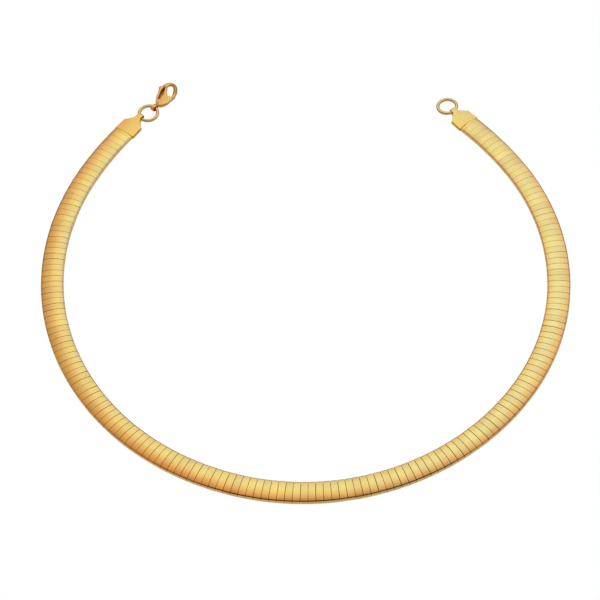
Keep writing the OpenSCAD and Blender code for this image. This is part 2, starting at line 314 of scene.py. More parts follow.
def plate_shells(first, end, settings, seed):
    """All plates from first up to end as one grid: a closed section loop at six stations a plate,
    the outer side drawn in by the plate's crown, which grows with the square of the distance from
    its middle, and by the seam's bevel at both ends. Seam, bevel and crown are scaled by the opening
    at the plate, and the lips come closer than the dome. Every plate leans and rolls a little, sits
    a little off its place along the band so that the seams differ in width, and is lifted so that
    its lips stay on the surface. Gives points, faces, UV and tone."""
    rng = np.random.default_rng(seed)
    outer, inner = plate_section()
    tangent = np.gradient(outer, axis=0)
    normal = stacked(-tangent[:, 1], tangent[:, 0])
    normal /= np.linalg.norm(normal, axis=1, keepdims=True)
    side = len(outer)
    loop = 2 * side
    count = end - first
    opening = np.interp(np.arange(first, end) + 0.5, OPEN_AT, OPEN_SHARE)
    seam = settings.seam / MM * opening
    bevel = settings.seam_bevel / MM * opening
    half = (PITCH - seam) / 2
    share = np.stack([half, half - bevel, INNER_STATION * half], 1)
    offsets = np.concatenate([-share, share[:, ::-1]], 1)
    stations = offsets.shape[1]
    drop = settings.plate_crown / MM * opening[:, None] * (offsets / half[:, None]) ** 2
    drop[:, [0, -1]] += bevel[:, None]
    drawn_in = outer + normal * drop[:, :, None, None]
    section = np.concatenate([drawn_in, np.broadcast_to(inner[::-1], drawn_in.shape)], 2)

    lean = rng.normal(0.0, radians(settings.plate_lean), count)
    roll = rng.normal(0.0, radians(settings.plate_roll), count)
    lift = np.abs(lean) * half + np.abs(roll) * WALL_X
    shift = rng.uniform(-1.0, 1.0, count) * settings.seam_spread / MM * opening
    middle = (np.arange(first, end) + 0.5) * PITCH + shift
    low = np.concatenate([outer[:, 1], inner[::-1, 1]]) < LIP_TOP
    reach = 1 + LIP_CLOSE * seam[:, None] / PITCH * low
    s = middle[:, None, None] + offsets[:, :, None] * reach[:, None, :]
    across = section[..., 0]
    up = section[..., 1] + offsets[:, :, None] * lean[:, None, None]
    up = up + across * roll[:, None, None] + lift[:, None, None]
    points = place_across(s, across, up)

    along = grid_faces(stations, loop, wrap_cols=True)
    j = np.arange(side - 1)
    k = loop - 1 - j
    face = stacked(j, j + 1, k - 1, k)
    ends = np.concatenate([face[:, ::-1], face + (stations - 1) * loop])
    one = np.concatenate([along, ends])
    starts = np.arange(count)[:, None, None] * stations * loop
    faces = (one[None] + starts).reshape(-1, 4)

    place = np.concatenate([np.linspace(0, 1, side), np.linspace(1, 0, side)])
    u = np.arange(first, end)[:, None, None] + offsets[:, :, None] / PITCH + 0.5
    uv = stacked(u, place[None, None, :]).reshape(-1, 2)
    tone = np.repeat(rng.normal(*PLATE_TONE, count).clip(0, 1), stations * loop)
    return points.reshape(-1, 3), [faces], uv, tone


def weave_shell():
    """The woven band as one tube: flat floor, side walls and a domed top. On the floor, rows of
    wire loops lean left and right in turn: height = hump across a column times a wave that runs
    along the band and is shifted by the place across the column."""
    columns, column_w, column_lean = 6, 0.9, 0.8
    loop_pitch, loop_depth, loop_power = 1.12, 0.13, 0.7
    weave_x, weave_points = 2.75, 31
    foot_x, foot_z, side_z = 3.4, 0.42, 0.94
    top_x = (3.3, 1.9, 0.0, -1.9, -3.3)
    stations, past_ends, uv_step = 2300, 1.0, 0.2
    floor_x = np.linspace(-weave_x, weave_x, weave_points)
    top_z = on_arc(top_x, DOME_Z, MESH_TOP - DOME_Z)[:, 1]
    x = np.concatenate([floor_x, [foot_x, MESH_X, MESH_X], top_x, [-MESH_X, -MESH_X, -foot_x]])
    z = np.concatenate([np.full(weave_points, MESH_FLOOR), [MESH_FLOOR, foot_z, side_z], top_z,
                        [side_z, foot_z, MESH_FLOOR]])
    reach = COLLAR_L + past_ends
    s = np.linspace(-reach, PATH_LENGTH + reach, stations)
    place = (x + columns * column_w / 2) / column_w
    column = np.floor(place)
    q = place - column
    lean = np.where(column % 2 == 0, 1.0, -1.0)
    wave = 0.5 + 0.5 * np.sin(2 * pi * (s[:, None] / loop_pitch + lean * (q - 0.5) * column_lean))
    height = np.sqrt(np.sin(pi * q).clip(0, 1)) * wave ** loop_power
    on_floor = np.arange(len(x)) < weave_points
    up = np.where(on_floor, z + loop_depth * (1 - height), z)
    across = np.broadcast_to(x, up.shape)
    rings = place_across(np.broadcast_to(s[:, None], up.shape), across, up)
    uv = stacked(s[:, None] * MM, np.arange(len(x)) * uv_step * MM).reshape(-1, 2)
    return tube(rings), uv


def cap_frame(end):
    """Origin and heading of a cap's own plan, at its groove: 0 is the clasp's end, 1 the catch's."""
    point, heading = along_path([-COLLAR_L, PATH_LENGTH + COLLAR_L][end])
    return point, float(heading) + (pi if end == 0 else 0.0)


def in_plan(points, origin, heading):
    """Points of a local plan turned by heading and moved to the origin."""
    turn = np.array([[cos(heading), -sin(heading)], [sin(heading), cos(heading)]])
    plan = points[..., :2] @ turn.T + np.asarray(origin)[:2]
    return raised(plan, points[..., 2])


def cap_sections(half, inset):
    """A cap's section for each half width: a bevelled foot, a wall, a steep bevel and an arc of the
    flat dome, drawn in by inset all round. Closed loops of points (stations, points, 2)."""
    dome_start, dome_points = 0.1, 15
    loops = []
    for h, gap in zip(half, inset):
        w = h - gap
        foot = min(CAP_FOOT, 0.4 * w)
        edge = w - CAP_BEVEL
        reach = edge - dome_start
        x = [edge, *np.linspace(reach, -reach, dome_points)]
        arc = on_arc(x, CAP_T - gap - CAP_DOME_R, CAP_DOME_R)
        bevel = arc[0, 1] - CAP_BEVEL_RISE
        corners = [(0.0, gap), (w - foot, gap), (w, foot), (w, bevel), *arc[:2]]
        right = eased(corners, (0.1, 0.1, 0.07, 0.07))
        left = right[:0:-1] * (-1, 1)
        loops.append(np.concatenate([right, arc[1:], left]))
    return np.array(loops)


def cap_half_width(x, shoulder, neck):
    """Half the cap's width along its plan: a little narrower toward the shoulder, then the scoop, a
    circle through the shoulder and the neck whose middle lies on the outer side."""
    a = np.array([shoulder, CAP_W / 2])
    b = np.array([neck, NECK_W / 2 + NECK_FLARE])
    chord = b - a
    reach = np.hypot(*chord)
    out = sqrt(SCOOP_R ** 2 - reach ** 2 / 4)
    middle = (a + b) / 2 + np.array([-chord[1], chord[0]]) / reach * out
    straight = CAP_W / 2 + CAP_SWELL * (1 - x / shoulder)
    under = np.maximum(SCOOP_R ** 2 - (x - middle[0]) ** 2, 0.0)
    scoop = middle[1] - np.sqrt(under)
    return np.where(x <= shoulder, straight, np.minimum(scoop, CAP_W / 2))


def carried(x, sections):
    """Rings of points in a local plan: at each x its own section, or the same section at every x."""
    return stacked(x[:, None], sections[..., 0], sections[..., 1])


def cap_shells(end, shoulder, neck, cap_turn, loop_turn, loop_length):
    """Collar, groove core, scooped body and the strap loop of one cap. The collar is the plates' own
    section, drawn in a little at both ends. The body lies CAP_SHIFT off the band's middle, toward
    the hollow."""
    origin, heading = cap_frame(end)
    outer, _ = plate_section()
    x = np.array([*(-COLLAR_L + back for back in (0.02, 0.04, 0.1)),
                  *(-GROOVE_W - fore for fore in (0.12, 0.04, 0.0))])
    shrink = np.array([0.008, 0.0, 0.0, 0.0, 0.0, 0.016])[:, None, None]
    middle = np.array([0.0, 0.9])
    collar = carried(x, middle + (outer[None] - middle) * (1 - shrink))
    w, low, high = WALL_X - SHEET, 0.16, 1.35
    core = np.array([(w, low), (w, high), (-w, high), (-w, low)])
    core = carried(np.array([-2 * GROOVE_W, 2 * GROOVE_W]), core)

    flank = np.array([0.0, 0.05, 0.12, shoulder / 2, shoulder - 0.25, shoulder - 0.12, shoulder])
    scoop_stations = 22
    stations = np.concatenate([flank, np.linspace(shoulder + 0.12, neck, scoop_stations)])
    inset = np.where(stations == 0, 0.05, 0.0)
    half = cap_half_width(stations, shoulder, neck)
    half[len(flank) - 1] -= 0.03
    body = carried(stations, cap_sections(half, inset)) + (0.0, CAP_SHIFT[end], 0.0)

    strap = strap_shell(neck, loop_turn, loop_length)
    turned = [in_plan(part, (0, 0), radians(cap_turn)) for part in (body, strap)]
    return [tube(in_plan(ring, origin, heading)) for ring in (collar, core, *turned)]


def strap_shell(neck, loop_turn, loop_length):
    """The loop over the ring: a flat strap with soft edges carried forward from the neck, round a
    half circle and back below it. It narrows by LOOP_TAPER times the square of the way to the tip."""
    r = (LOOP_T - LOOP_WALL) / 2
    tip = loop_length - LOOP_T / 2
    angle = np.linspace(pi / 2, -pi / 2, 17)
    x = np.concatenate([[-0.25, 0.0, 0.5 * tip], tip + r * np.cos(angle), [0.5 * tip, 0.0]])
    z = LOOP_T / 2 + np.concatenate([[r, r, r], r * np.sin(angle), [-r, -r]])
    step = np.gradient(stacked(x, z), axis=0)
    step /= np.linalg.norm(step, axis=1, keepdims=True)
    normal = stacked(-step[:, 1], step[:, 0])
    w = NECK_W / 2
    h = LOOP_WALL / 2
    corners = [(0, h), (w, h), (w, -h), (-w, -h), (-w, h), (0, h)]
    loop = eased(corners, (0.1, 0.1, 0.1, 0.1))
    taper = 1 - LOOP_TAPER * (x.clip(0) / x.max()) ** 2
    across = taper[:, None] * loop[None, :, 0]
    plan = x[:, None] + normal[:, None, 0] * loop[None, :, 1]
    up = z[:, None] + normal[:, None, 1] * loop[None, :, 1]
    rings = stacked(plan, across, up)
    return in_plan(rings, (0, 0), radians(loop_turn)) + (neck, 0.0, 0.0)


def ring_shell(middle, uphill, tilt):
    """A wire ring: a circle of wire carried round a circle, tipped up toward the uphill side."""
    a = full_turn(96)[:, None]
    b = full_turn(24)[None, :]
    reach = RING_R + WIRE_R * np.cos(b)
    flat = stacked(reach * np.cos(a), reach * np.sin(a), WIRE_R * np.sin(b))
    tip = np.array(Matrix.Rotation(uphill, 3, "Z") @ Matrix.Rotation(-tilt, 3, "Y")
                   @ Matrix.Rotation(-uphill, 3, "Z"))
    return donut(flat @ tip.T + np.asarray(middle))


def in_clasp(rings):
    """Points of the clasp's own plan put where the clasp lies."""
    return in_plan(rings + (0.0, 0.0, CLASP_AT[2]), CLASP_AT, radians(CLASP_HEADING))


# Points round a ribbon, and on one side of a slotted bar
RIBBON_POINTS = 28
SLOTTED_POINTS = 21


def powered(x, power):
    """The size of x to a power, with the sign of x."""
    return np.sign(x) * np.abs(x) ** power


def between(outer, inner, half_height, a, b):
    """Rings of points between two boundary curves of a plan: a runs from the inner curve at -1 to
    the outer at 1, and b is the height as a share of the half height."""
    middle = (outer + inner) / 2
    half = (outer - inner) / 2
    return raised(middle[:, None] + half[:, None] * a[..., None], half_height[:, None] * b)


def ribbon(outer, inner, half_height, power=2.2, count=RIBBON_POINTS):
    """A bar between two boundary curves: at each station a superellipse |a|^power + |b|^power = 1,
    as wide as the curves are apart and as high as half_height says."""
    v = full_turn(count)
    across, up = powered(np.cos(v), 2 / power), powered(np.sin(v), 2 / power)
    return between(outer, inner, half_height, across, up)


def slotted(outer, inner, half_height, depth):
    """Like ribbon, with a slot let in from the inner curve: its two sides lie at plus and minus
    SLOT_HALF and its bottom at depth, a share of the distance between the curves. The half on the
    inner curve's side has its own power, so that its faces are flatter."""
    outer_power, inner_power = 2.0, 6.0
    share = (SLOT_HALF / half_height)[:, None]
    stop = pi - np.arcsin(share ** (inner_power / 2))
    v = np.linspace(0.0, 1.0, SLOTTED_POINTS)[None, :] * stop
    shape = 2 / np.where(np.cos(v) > 0, outer_power, inner_power)
    a = powered(np.cos(v), shape)
    b = np.abs(np.sin(v)) ** shape
    wall = (2 * depth - 1)[:, None]
    a = np.concatenate([a, wall, wall, a[:, :0:-1]], 1)
    b = np.concatenate([b, share, -share, -b[:, :0:-1]], 1)
    return between(outer, inner, half_height, a, b)


def pillow(outline, half_height, level=0.0):
    """A flat body with soft rims over a closed outline: rings of the outline shrink toward its middle
    by cos and rise by sin of the same angle, both to the power 2/power, on both sides of a level."""
    power, rows = 4.0, 5
    middle = outline.mean(0)
    angle = np.linspace(-pi / 2, pi / 2, 2 * rows + 1)[1:-1]
    shrink = np.cos(angle) ** (2 / power)
    rise = powered(np.sin(angle), 2 / power) * half_height
    plan = middle + (outline - middle)[None] * shrink[:, None, None]
    return raised(plan, (level + rise)[:, None])


def disc_about_pivot(radius):
    """A circle about the pivot in the clasp's plan."""
    v = full_turn(40)
    return PIVOT + radius * stacked(np.cos(v), np.sin(v))


# The claw: stations from the stem over the belly and round the hook to its tip, each with its
# point on the outer curve, its point on the inner curve, its half height and its slot's depth
CLAW = np.array([
    (1.42, -0.2, 1.46, 0.95, 0.7, 0.0),
    (1.55, -0.75, 1.75, 0.9, 0.78, 0.0),
    (1.75, -1.5, 2.2, 0.4, 0.85, 0.05),
    (2.7, -2.4, 3.0, 0.25, 0.95, 0.25),
    (4.0, -3.0, 4.2, 0.72, 1.0, 0.42),
    (5.3, -3.2, 5.5, 1.1, 1.0, 0.62),
    (6.4, -3.33, 6.6, 1.0, 1.0, 0.7),
    (7.2, -3.42, 6.95, 0.0, 0.98, 0.62),
    (7.6, -3.45, 6.75, -0.95, 0.95, 0.5),
    (8.0, -3.43, 6.8, -1.7, 0.9, 0.25),
    (8.5, -3.35, 7.5, -2.1, 0.85, 0.0),
    (9.2, -3.17, 8.5, -1.9, 0.8, 0.0),
    (10.2, -2.87, 9.4, -1.55, 0.75, 0.0),
    (11.25, -2.36, 10.5, -0.98, 0.68, 0.0),
    (12.4, -1.55, 11.55, -0.28, 0.64, 0.0),
    (13.2, -0.52, 12.15, 0.35, 0.62, 0.0),
    (13.57, 0.75, 12.35, 0.95, 0.62, 0.0),
    (13.28, 2.35, 12.1, 1.55, 0.62, 0.0),
    (12.36, 3.38, 11.55, 1.85, 0.64, 0.0),
    (11.24, 3.93, 11.15, 1.95, 0.66, 0.0),
    (10.25, 4.05, 10.8, 1.85, 0.64, 0.0),
])
# The first and the last station of the part with the lever's slot, and half the slot's width
SLOTTED = (2, 9)
SLOT_HALF = 0.475
# Painted shade on the hook's outer arm, and the stations between which it comes and goes
ARM_PAINTED_SHADE = 0.7
ARM_AT = (10.5, 12, 15.5, 17.5)


def painted_shade_of(parts, tones):
    """The painted shade of shells' points, given for each shell as one value, or by station or
    column.
    """
    spread = [np.broadcast_to(tone, part.shape[:2]) for part, tone in zip(parts, tones)]
    return np.concatenate([tone.ravel() for tone in spread])


def clasp_body_shells():
    """Eye barrel, stem, slotted belly and hook along the claw's stations, and a disc on each cheek
    round the pin. The tone is painted shade: 1 in the eye's bore and at the slot's bottom, and some
    on the hook's outer arm."""
    v = full_turn(64)
    bore, crest, rim, w = 0.95, 1.05, 1.15, 0.7
    section = eased([(crest, w), (rim, w), (rim, -w), (bore, -w), (bore, w), (crest, w)],
                    (0.08, 0.08, 0.05, 0.05))
    front_x, back_x, middle_y, eye_turn = 0.45, -0.05, 0.4, -8
    end_x = np.where(np.cos(v) > 0, front_x, back_x)[:, None]
    reach, across = section[None, :, 0], middle_y + section[None, :, 1]
    barrel = stacked(end_x + reach * np.cos(v)[:, None], across, reach * np.sin(v)[:, None])
    barrel = in_plan(barrel, (0, 0), radians(eye_turn))

    fine = 6
    claw = spline(CLAW, fine)
    first, last = (fine * station for station in SLOTTED)
    parts = claw[:first + 1], claw[first:last + 1], claw[last:]
    stem, belly, hook = ((part[:, :2], part[:, 2:4], part[:, 4]) for part in parts)
    depth = parts[1][:, 5].clip(0.02, 1)
    rings = [ribbon(*stem), slotted(*belly, depth), ribbon(*hook)]
    cheek = (1.0 - SLOT_HALF) / 2
    rings += [pillow(disc_about_pivot(1.0), cheek, side * (SLOT_HALF + cheek)) for side in (1, -1)]
    shells = [donut(in_clasp(barrel))] + [tube(in_clasp(part)) for part in rings]
    # Painted shade at the slot's bottom and in the eye's bore
    bottom = np.isin(np.arange(rings[1].shape[1]), (SLOTTED_POINTS, SLOTTED_POINTS + 1))
    station = np.arange(len(rings[2]))[:, None] / fine + SLOTTED[1]
    # Painted shade on the hook's outer arm
    arm = ARM_PAINTED_SHADE * np.interp(station, ARM_AT, (0, 1, 1, 0))
    return shells, painted_shade_of([barrel, *rings], (section[:, 0] < 1.0, 0.0, bottom, arm, 0.0, 0.0))


# The lever: stations from the pivot outwards, each with the gate's low and high edge, the strip's
# low and high edge, the half heights of the gate and the strip, and the level of the floor between
LEVER = np.array([
    (2.6, 0.0, 2.9, 1.3, 2.6, 0.9, 2.4, 1.3, 0.42, 0.42, -0.22),
    (3.8, -0.05, 4.1, 1.25, 4.1, 1.5, 4.0, 2.35, 0.42, 0.45, -0.22),
    (5.5, -0.35, 5.6, 1.5, 5.6, 1.9, 5.0, 2.85, 0.42, 0.65, -0.22),
    (7.27, -0.49, 7.0, 1.6, 7.0, 2.3, 7.0, 3.5, 0.42, 0.75, -0.25),
    (8.25, 0.15, 8.2, 1.95, 8.15, 2.65, 8.0, 3.95, 0.42, 0.85, -0.45),
    (9.3, 0.95, 9.3, 2.35, 9.4, 2.7, 9.4, 4.75, 0.65, 0.85, -0.45),
    (10.5, 1.65, 10.35, 2.75, 10.3, 2.6, 9.95, 3.9, 0.65, 0.7, -0.45),
])


def lever_shells():
    """The gate arm, the outer strip that widens into the thumb tab, the floor between them, and the
    root round the pin. The tone is painted shade in the slit: 1 on the floor, and growing on the
    sides that face each other."""
    lever = spline(LEVER, 8)
    gate_low, gate_high, strip_low, strip_high = (lever[:, k:k + 2] for k in (0, 2, 4, 6))
    under_gate = 0.75 * gate_high + 0.25 * gate_low
    under_strip = 0.8 * strip_low + 0.2 * strip_high
    floor_half, root_r, root_half = 0.18, 0.9, 0.42
    floor = ribbon(under_gate, under_strip, np.full(len(lever), floor_half), power=4.0, count=16)
    floor[..., 2] += lever[:, 10:]
    gate = ribbon(gate_high, gate_low, lever[:, 8])
    strip = ribbon(strip_high, strip_low, lever[:, 9])
    parts = (gate, strip, floor, pillow(disc_about_pivot(root_r), root_half))
    # Painted shade on the slit's floor and on the sides that face each other
    facing = np.cos(full_turn(RIBBON_POINTS))
    gate_slit_shade, strip_slit_shade = (((side * facing - 0.3) / 0.5).clip(0, 1) for side in (1, -1))
    return [tube(in_clasp(part)) for part in parts], painted_shade_of(parts, (gate_slit_shade, strip_slit_shade, 1.0, 0.0))


def pin_shell():
    """The pin: a round bar whose two ends are shallow domes."""
    v = full_turn(32)
    reach = np.array([0.15, 0.3, 0.4, 0.43, 0.43, 0.4, 0.3, 0.15])[:, None]
    up = np.array([-1.0, -0.99, -0.96, -0.9, 0.96, 1.02, 1.05, 1.06])[:, None]
    return tube(in_clasp(stacked(PIVOT[0] + reach * np.cos(v), PIVOT[1] + reach * np.sin(v), up)))


def feed(tree, node, inputs):
    """Give each input of a node its value, or a link from another node's output."""
    for socket, value in inputs.items():
        if isinstance(value, bpy.types.NodeSocket):
            tree.links.new(value, node.inputs[socket])
        else:
            node.inputs[socket].default_value = value
    return node


def add_node(tree, kind, inputs=None, **options):
    """A new node with its options set and its inputs fed."""
    node = tree.nodes.new(kind)
    for name, value in options.items():
        setattr(node, name, value)
    return feed(tree, node, inputs or {})


def math_of(tree, operation, *values, clamp=False):
    """The output of a Math node on numbers and other nodes' outputs."""
    node = add_node(tree, "ShaderNodeMath", dict(enumerate(values)),
                    operation=operation, use_clamp=clamp)
    return node.outputs[0]


def mix_of(tree, factor, first, second, blend="MIX"):
    """The output of a Mix node on two colours."""
    node = add_node(tree, "ShaderNodeMix", {0: factor, 6: first, 7: second},
                    data_type="RGBA", blend_type=blend)
    return node.outputs[2]


def noise_of(tree, vector, scale, detail):
    """The value of a noise."""
    inputs = {"Vector": vector, "Scale": scale, "Detail": detail}
    return add_node(tree, "ShaderNodeTexNoise", inputs).outputs["Fac"]


def relief_of(tree, height, strength, distance):
    """The normal that a height gives."""
    inputs = {"Height": height, "Strength": strength, "Distance": distance}
    return add_node(tree, "ShaderNodeBump", inputs).outputs["Normal"]


def ramp_of(tree, share, stops):
    """The colour that a ramp has at share. Each stop is a position and a colour."""
    node = add_node(tree, "ShaderNodeValToRGB", {"Fac": share})
    elements = node.color_ramp.elements
    for element, (position, *colour) in zip(elements, (stops[0], stops[-1])):
        element.position = position
        element.color = (*colour, 1)
    for position, *colour in stops[1:-1]:
        elements.new(position).color = (*colour, 1)
    return node.outputs["Color"]


def axes_of(tree, vector):
    """The X, Y and Z of a vector."""
    return add_node(tree, "ShaderNodeSeparateXYZ", {"Vector": vector}).outputs


def object_place(tree):
    """The Object coordinates."""
    return add_node(tree, "ShaderNodeTexCoord").outputs["Object"]


def surface_place(tree):
    """A piece's own UV."""
    return add_node(tree, "ShaderNodeUVMap", uv_map="surface").outputs["UV"]


def own_tone_and_shade(tree):
    """A piece's own tone attribute: random tone on the plates, painted shade on the clasp."""
    return add_node(tree, "ShaderNodeAttribute", attribute_name="tone").outputs["Fac"]


def empty_material(name):
    """A new material without nodes, and its node tree."""
    material = bpy.data.materials.new(name)
    material.use_nodes = True
    material.node_tree.nodes.clear()
    return material, material.node_tree


def polish_group():
    """Shared finish of polished gold: clouds of slightly duller polish, slow waves in the surface and
    a tone from light to deep gold. It puts out a colour, a roughness and a height."""
    tree = bpy.data.node_groups.new("polished_gold", "ShaderNodeTree")
    sockets = {"INPUT": {"Vector": "Vector", "Light gold": "Color", "Deep gold": "Color",
                         "Tone": "Float", "Roughness": "Float"},
               "OUTPUT": {"Color": "Color", "Roughness": "Float", "Height": "Float"}}
    for way, kinds in sockets.items():
        for name, kind in kinds.items():
            tree.interface.new_socket(name=name, in_out=way, socket_type="NodeSocket" + kind)
    cloud_scale, wave_scale = 300.0, 420.0
    cloud_tone, cloud_middle, cloud_rough = 0.35, -0.17, 0.1
    given = add_node(tree, "NodeGroupInput").outputs
    clouds = noise_of(tree, given["Vector"], cloud_scale, 3.0)
    waves = noise_of(tree, given["Vector"], wave_scale, 1.0)
    cloudy = math_of(tree, "MULTIPLY_ADD", clouds, cloud_tone, cloud_middle)
    # The tone given in holds painted shade on the plates and the woven band
    tone = math_of(tree, "ADD", given["Tone"], cloudy, clamp=True)
    colour = mix_of(tree, tone, given["Light gold"], given["Deep gold"])
    rough = math_of(tree, "MULTIPLY_ADD", clouds, cloud_rough, given["Roughness"])
    add_node(tree, "NodeGroupOutput", {"Color": colour, "Roughness": rough, "Height": waves})
    return tree


def gold(name, light, deep, tone, roughness, wavy=True):
    """Polished gold on Object coordinates with its own two golds, tone and roughness, and with the
    finish's waves as relief if it is wavy. Gives material, tree, shader and finish."""
    material, tree = empty_material(name)
    finish = add_node(tree, "ShaderNodeGroup")
    finish.node_tree = bpy.data.node_groups.get("polished_gold") or polish_group()
    feed(tree, finish, {"Vector": object_place(tree), "Light gold": (*light, 1),
                        "Deep gold": (*deep, 1), "Tone": tone, "Roughness": roughness})
    shader = add_node(tree, "ShaderNodeBsdfPrincipled", {
        "Metallic": 1.0, "Base Color": finish.outputs["Color"],
        "Roughness": finish.outputs["Roughness"]})
    if wavy:
        feed(tree, shader, {"Normal": relief_of(tree, finish.outputs["Height"], 0.25, 0.00002)})
    add_node(tree, "ShaderNodeOutputMaterial", {"Surface": shader.outputs["BSDF"]})
    return material, tree, shader, finish


# Painted shade across a plate, from the lip's edge to the middle of the dome, as shares of the way
# across: deepest at the edge and on the shoulder, whose bevel stands in for reflected dark
# surroundings
ACROSS_PAINTED_SHADE = ((0.0, 1.0), (0.1, 0.15), (0.22, 0.3), (0.25, 1.0), (0.318, 1.0),
               (0.371, 0.45), (0.424, 0.1), (0.5, 0.0))


def plate_gold(settings):
    """The plates' gold: each plate has its own tone, and painted shade deepens its edges and
    shoulders.
    """
    material, tree, _, finish = gold("plate_gold", settings.light_gold, settings.deep_gold_and_shade, 0.2, 0.16)
    painted_shade_share, own_share = 0.7, 0.3
    mirrored = [(1 - place, tone) for place, tone in ACROSS_PAINTED_SHADE[-2::-1]]
    stops = [(place, tone, tone, tone) for place, tone in (*ACROSS_PAINTED_SHADE, *mirrored)]
    # The ramp across the plate is painted shade, deepest on the shoulders' bevels
    across = ramp_of(tree, axes_of(tree, surface_place(tree))["Y"], stops)
    edge = math_of(tree, "MULTIPLY", across, painted_shade_share)
    feed(tree, finish, {"Tone": math_of(tree, "MULTIPLY_ADD", own_tone_and_shade(tree), own_share, edge)})
    return material


def clasp_gold(settings):
    """The clasp's gold, with painted shade where the tone attribute says so."""
    material, tree, shader, finish = gold("clasp_gold", settings.warm_gold, settings.deep_gold_and_shade,
                                          0.1, 0.12)
    shade = mix_of(tree, own_tone_and_shade(tree), finish.outputs["Color"], (*settings.painted_shade_gold, 1))
    feed(tree, shader, {"Base Color": shade})
    return material


def weave_gold(settings):
    """Wire mesh: satin gold whose fine twisted wires come from a wave bump on the band's own UV, and
    which has painted shade on top, where the plates cover it."""
    material, tree, shader, finish = gold("weave_gold", settings.light_gold, settings.under_plate_shade_gold,
                                          0.3, 0.3, wavy=False)
    # Painted shade: the band's top, under the plates, is darker by height
    shade_under_plates = add_node(tree, "ShaderNodeMapRange", {
        "Value": axes_of(tree, object_place(tree))["Z"],
        "From Min": 0.0008, "From Max": 0.0012, "To Min": 0.3, "To Max": 1.2})
    feed(tree, finish, {"Tone": shade_under_plates.outputs["Result"]})
    inputs = {"Vector": surface_place(tree), "Scale": 900.0, "Distortion": 0.6}
    wires = add_node(tree, "ShaderNodeTexWave", inputs, bands_direction="DIAGONAL")
    feed(tree, shader, {"Normal": relief_of(tree, wires.outputs["Fac"], 0.5, 0.00005)})
    return material


def length(name, description, default):
    """A setting that is a length in metres."""
    return FloatProperty(name=name, description=description, default=default, unit="LENGTH")


def tint(name, description, default):
    """A setting that is a colour."""
    return FloatVectorProperty(name=name, description=description, default=default, subtype="COLOR")


class NecklaceSettings(bpy.types.PropertyGroup):
    """Sizes and colours that a user would change."""
    seam: length("Seam", "Width of the seam between two plates", 0.00012)
    seam_bevel: length("Seam bevel", "Bevel on a plate's two ends", 0.000032)
    plate_crown: length("Crown", "How far a plate's ends lie below its middle", 0.000015)
    seam_spread: length("Seam spread", "How far a plate may be off its place", 0.00002)
    plate_lean: FloatProperty(name="Lean", description="Spread of lean along the band, in degrees",
                              default=0.5)
    plate_roll: FloatProperty(name="Roll", description="Spread of roll across the band, in degrees",
                              default=0.3)
    light_gold: tint("Light gold", "Gold of the bright faces", (0.93, 0.74, 0.29))
    # Deep gold is the gold's own deeper tone, and also the colour of the plates' painted shade on
    # edges and shoulders
    deep_gold_and_shade: tint("Deep gold", "Gold of edges and hollows", (0.62, 0.42, 0.22))
    warm_gold: tint("Warm gold", "Gold of the clasp", (0.81, 0.52, 0.20))
    ring_gold: tint("Ring gold", "Gold of the jump rings", (0.77, 0.58, 0.28))
    cap_gold: tint("Cap gold", "Gold of the end caps", (0.90, 0.655, 0.22))
    # Painted shade on the woven band's top, under the plates
    under_plate_shade_gold: tint("Hollow gold", "Gold inside the plates", (0.16, 0.09, 0.03))
    # Painted shade in the clasp's eye, slots and slit, and on the hook's outer arm
    painted_shade_gold: tint("Shade gold", "Gold deep in the clasp's slots", (0.42, 0.19, 0.05))
    rose_gold: tint("Rose gold", "Gold of the clasp's pin", (0.78, 0.42, 0.30))
    camera_elevation: FloatProperty(name="Camera elevation", description="Angle above the floor",
                                    default=radians(53.1618), subtype="ANGLE")
    camera_roll: FloatProperty(name="Camera roll", description="Turn about the camera's own view",
                               default=radians(5.7839), subtype="ANGLE")
    camera_distance: length("Camera distance", "Distance from the target", 0.812848)
    focal_pixels: FloatProperty(name="Focal length", description="In pixels of a 600 pixel picture",
                                default=2334.8237)
    tent_radius: length("Tent", "Radius of the light tent", 0.4)


class NECKLACE_OT_plates(bpy.types.Operator):
    """Build the two runs of domed plates."""
    bl_idname = "necklace.plates"
    bl_label = "Plates"

    def execute(self, context):
        settings = context.scene.necklace
        material = plate_gold(settings)
        half = PLATE_COUNT // 2
        for name, node, first, end, seed in (("left_plates", "plates_left", 0, half, 7),
                                             ("right_plates", "plates_right", half, PLATE_COUNT, 11)):
            points, faces, uv, tone = plate_shells(first, end, settings, seed)
            piece = make_piece(name, [(points, faces)], material, crease=30.0, uv=uv, tone=tone)
            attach(piece, "necklace")
            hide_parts(node)
        return {"FINISHED"}


class NECKLACE_OT_weave(bpy.types.Operator):
    """Build the woven wire band inside the plates."""
    bl_idname = "necklace.weave"
    bl_label = "Woven band"

    def execute(self, context):
        material = weave_gold(context.scene.necklace)
        shell, uv = weave_shell()
        piece = make_piece("wire_weave", [shell], material, crease=60.0, uv=uv)
        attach(piece, "necklace")
        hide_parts("woven_band")
        return {"FINISHED"}


class NECKLACE_OT_caps(bpy.types.Operator):
    """Build the two end caps with their loops."""
    bl_idname = "necklace.caps"
    bl_label = "End caps"

    def execute(self, context):
        settings = context.scene.necklace
        material, *_ = gold("cap_gold", settings.cap_gold, settings.deep_gold_and_shade, 0.1, 0.16)
        left = cap_shells(0, shoulder=5.0, neck=8.2, cap_turn=0.0, loop_turn=-10.0, loop_length=2.4)
        right = cap_shells(1, shoulder=4.7, neck=7.4, cap_turn=-2.0, loop_turn=0.0, loop_length=2.1)
        for name, node, shells in (("left_cap", "end_cap_left", left),
                                   ("right_cap", "end_cap_right", right)):
            piece = make_piece(name, shells, material, crease=30.0)
            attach(piece, "necklace")
            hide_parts(node)
        return {"FINISHED"}


